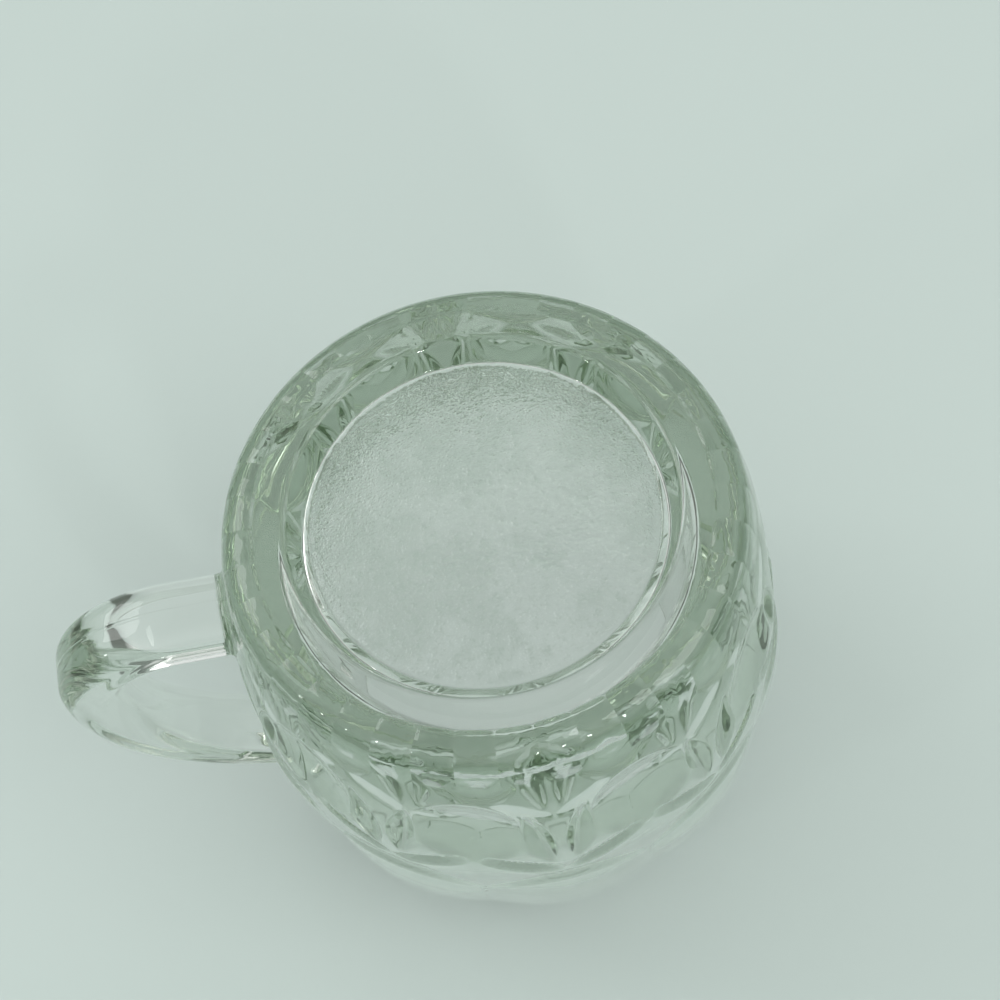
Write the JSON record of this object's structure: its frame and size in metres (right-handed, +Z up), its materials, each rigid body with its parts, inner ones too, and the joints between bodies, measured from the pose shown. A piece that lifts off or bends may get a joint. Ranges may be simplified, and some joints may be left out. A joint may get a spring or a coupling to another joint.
{
  "type": "beer mug",
  "caption": "Heavy pressed-glass barrel mug with a looped handle, a fan and petal relief round the body and a recessed base.",
  "frame": {"origin": "on the mug's axis in the plane of the bearing ring that it stands on", "axes": "+Z up out of the mouth, +X along the middle of the handle"},
  "size_m": [0.1204, 0.0938, 0.095],
  "materials": {
    "body_glass": "clear pressed glass with a slight green cast",
    "handle_glass": "clear pressed glass with a slight green cast"
  },
  "bodies": {
    "root": {"mug_body": "body_glass", "handle": "handle_glass"}
  },
  "joints": []
}
